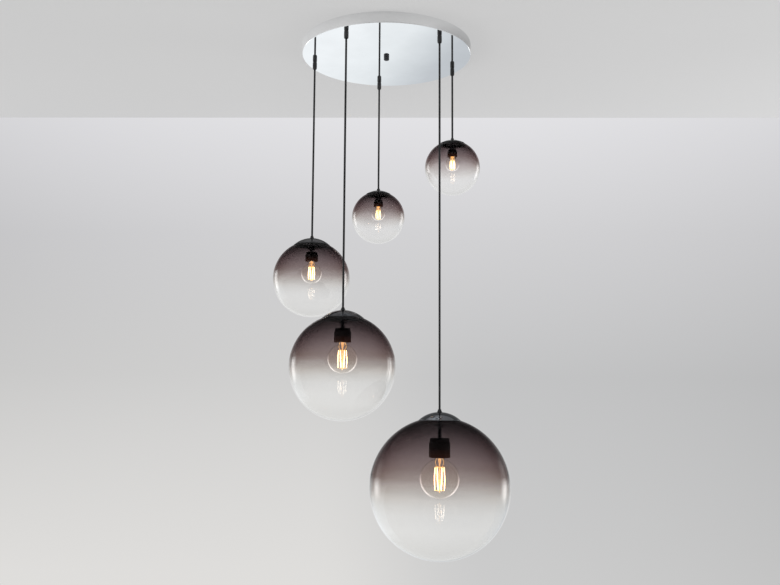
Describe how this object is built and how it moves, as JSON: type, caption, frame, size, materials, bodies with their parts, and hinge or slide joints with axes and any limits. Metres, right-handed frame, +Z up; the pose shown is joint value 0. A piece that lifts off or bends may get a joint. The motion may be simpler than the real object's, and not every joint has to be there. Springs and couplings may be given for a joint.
{
  "type": "bubble chandelier",
  "caption": "Cluster pendant light: glass bubbles with lit globe bulbs hang at stepped heights on black cords from one round mirror canopy.",
  "frame": {"origin": "centre of the round canopy, in the plane of the ceiling", "axes": "+Z up into the ceiling, +Y away from the front view, +X to its right; the light hangs towards -Z"},
  "size_m": [0.5989, 0.5905, 1.317],
  "materials": {
    "mirror_chrome": "mirror polished chrome plate",
    "dark_chrome": "dark polished chrome plate",
    "plated_steel": "zinc plated steel",
    "black_plastic": "black moulded plastic, satin",
    "white_plastic": "white moulded plastic",
    "black_cord": "black round cord sheath, satin",
    "black_rubber": "black rubber",
    "smoke_glass": "blown glass, smoked above and clear below",
    "clear_glass": "thin clear glass",
    "brass_base": "rolled brass screw base",
    "glowing_filament": "lit filament strands on a glass stem"
  },
  "bodies": {
    "root": {"canopy_pan": "mirror_chrome", "ceiling_bracket": "plated_steel", "centre_stud": "plated_steel", "hex_nuts": "plated_steel", "canopy_finial": "mirror_chrome", "terminal_block": "white_plastic", "machine_screws": "plated_steel", "cord_grips": "black_plastic", "grip_screws": "plated_steel", "inner_leads": "black_cord"},
    "seal_1": {"grip_seal_1": "black_rubber"},
    "hanging_cord_1": {"cord_1": "black_cord"},
    "pendant_1": {"cap_1": "dark_chrome", "tube_1": "dark_chrome", "spring_clip_1": "plated_steel", "bubble_1": "smoke_glass", "lampholder_1": "black_plastic"},
    "bulb_1": {"bulb_base_1": "brass_base", "bulb_glass_1": "clear_glass", "filament_1": "glowing_filament"},
    "seal_2": {"grip_seal_2": "black_rubber"},
    "hanging_cord_2": {"cord_2": "black_cord"},
    "pendant_2": {"cap_2": "dark_chrome", "tube_2": "dark_chrome", "spring_clip_2": "plated_steel", "bubble_2": "smoke_glass", "lampholder_2": "black_plastic"},
    "bulb_2": {"bulb_base_2": "brass_base", "bulb_glass_2": "clear_glass", "filament_2": "glowing_filament"},
    "seal_3": {"grip_seal_3": "black_rubber"},
    "hanging_cord_3": {"cord_3": "black_cord"},
    "pendant_3": {"cap_3": "dark_chrome", "tube_3": "dark_chrome", "spring_clip_3": "plated_steel", "bubble_3": "smoke_glass", "lampholder_3": "black_plastic"},
    "bulb_3": {"bulb_base_3": "brass_base", "bulb_glass_3": "clear_glass", "filament_3": "glowing_filament"},
    "seal_4": {"grip_seal_4": "black_rubber"},
    "hanging_cord_4": {"cord_4": "black_cord"},
    "pendant_4": {"cap_4": "dark_chrome", "tube_4": "dark_chrome", "spring_clip_4": "plated_steel", "bubble_4": "smoke_glass", "lampholder_4": "black_plastic"},
    "bulb_4": {"bulb_base_4": "brass_base", "bulb_glass_4": "clear_glass", "filament_4": "glowing_filament"},
    "seal_5": {"grip_seal_5": "black_rubber"},
    "hanging_cord_5": {"cord_5": "black_cord"},
    "pendant_5": {"cap_5": "dark_chrome", "tube_5": "dark_chrome", "spring_clip_5": "plated_steel", "bubble_5": "smoke_glass", "lampholder_5": "black_plastic"},
    "bulb_5": {"bulb_base_5": "brass_base", "bulb_glass_5": "clear_glass", "filament_5": "glowing_filament"}
  },
  "joints": [
    {"name": "swing_1_x", "type": "hinge", "parent": "root", "child": "seal_1", "pos_m": [0.18271, 0.08135, -0.047], "axis": [1, 0, 0], "range_deg": [-5, 5]},
    {"name": "swing_1_y", "type": "hinge", "parent": "seal_1", "child": "hanging_cord_1", "pos_m": [0.18271, 0.08135, -0.047], "axis": [0, 1, 0], "range_deg": [-8, 5]},
    {"name": "raise_1", "type": "slide", "parent": "hanging_cord_1", "child": "pendant_1", "axis": [0, 0, 1], "range_m": [0, 0.08], "deforming": ["cord_1"]},
    {"name": "bulb_1_turn", "type": "hinge", "parent": "pendant_1", "child": "bulb_1", "pos_m": [0.18271, 0.08135, -0.311], "axis": [0, 0, 1], "range_deg": [-900, 0]},
    {"name": "swing_2_x", "type": "hinge", "parent": "root", "child": "seal_2", "pos_m": [-0.02091, 0.1989, -0.047], "axis": [1, 0, 0], "range_deg": [-4, 8]},
    {"name": "swing_2_y", "type": "hinge", "parent": "seal_2", "child": "hanging_cord_2", "pos_m": [-0.02091, 0.1989, -0.047], "axis": [0, 1, 0], "range_deg": [-5, 5]},
    {"name": "raise_2", "type": "slide", "parent": "hanging_cord_2", "child": "pendant_2", "axis": [0, 0, 1], "range_m": [0, 0.08], "deforming": ["cord_2"]},
    {"name": "bulb_2_turn", "type": "hinge", "parent": "pendant_2", "child": "bulb_2", "pos_m": [-0.02091, 0.1989, -0.427], "axis": [0, 0, 1], "range_deg": [-900, 0]},
    {"name": "swing_3_x", "type": "hinge", "parent": "root", "child": "seal_3", "pos_m": [-0.19563, 0.04158, -0.047], "axis": [1, 0, 0], "range_deg": [-4, 4]},
    {"name": "swing_3_y", "type": "hinge", "parent": "seal_3", "child": "hanging_cord_3", "pos_m": [-0.19563, 0.04158, -0.047], "axis": [0, 1, 0], "range_deg": [-3, 7]},
    {"name": "raise_3", "type": "slide", "parent": "hanging_cord_3", "child": "pendant_3", "axis": [0, 0, 1], "range_m": [0, 0.06], "deforming": ["cord_3"]},
    {"name": "bulb_3_turn", "type": "hinge", "parent": "pendant_3", "child": "bulb_3", "pos_m": [-0.19563, 0.04158, -0.625], "axis": [0, 0, 1], "range_deg": [-900, 0]},
    {"name": "swing_4_x", "type": "hinge", "parent": "root", "child": "seal_4", "pos_m": [-0.1, -0.1732, -0.047], "axis": [1, 0, 0], "range_deg": [-6, 3]},
    {"name": "swing_4_y", "type": "hinge", "parent": "seal_4", "child": "hanging_cord_4", "pos_m": [-0.1, -0.1732, -0.047], "axis": [0, 1, 0], "range_deg": [-2.5, 6]},
    {"name": "raise_4", "type": "slide", "parent": "hanging_cord_4", "child": "pendant_4", "axis": [0, 0, 1], "range_m": [0, 0.04], "deforming": ["cord_4"]},
    {"name": "bulb_4_turn", "type": "hinge", "parent": "pendant_4", "child": "bulb_4", "pos_m": [-0.1, -0.1732, -0.864], "axis": [0, 0, 1], "range_deg": [-900, 0]},
    {"name": "swing_5_x", "type": "hinge", "parent": "root", "child": "seal_5", "pos_m": [0.13383, -0.14863, -0.047], "axis": [1, 0, 0], "range_deg": [-6, 3]},
    {"name": "swing_5_y", "type": "hinge", "parent": "seal_5", "child": "hanging_cord_5", "pos_m": [0.13383, -0.14863, -0.047], "axis": [0, 1, 0], "range_deg": [-6, 2.5]},
    {"name": "raise_5", "type": "slide", "parent": "hanging_cord_5", "child": "pendant_5", "axis": [0, 0, 1], "range_m": [0, 0.02], "deforming": ["cord_5"]},
    {"name": "bulb_5_turn", "type": "hinge", "parent": "pendant_5", "child": "bulb_5", "pos_m": [0.13383, -0.14863, -1.149], "axis": [0, 0, 1], "range_deg": [-900, 0]}
  ]
}
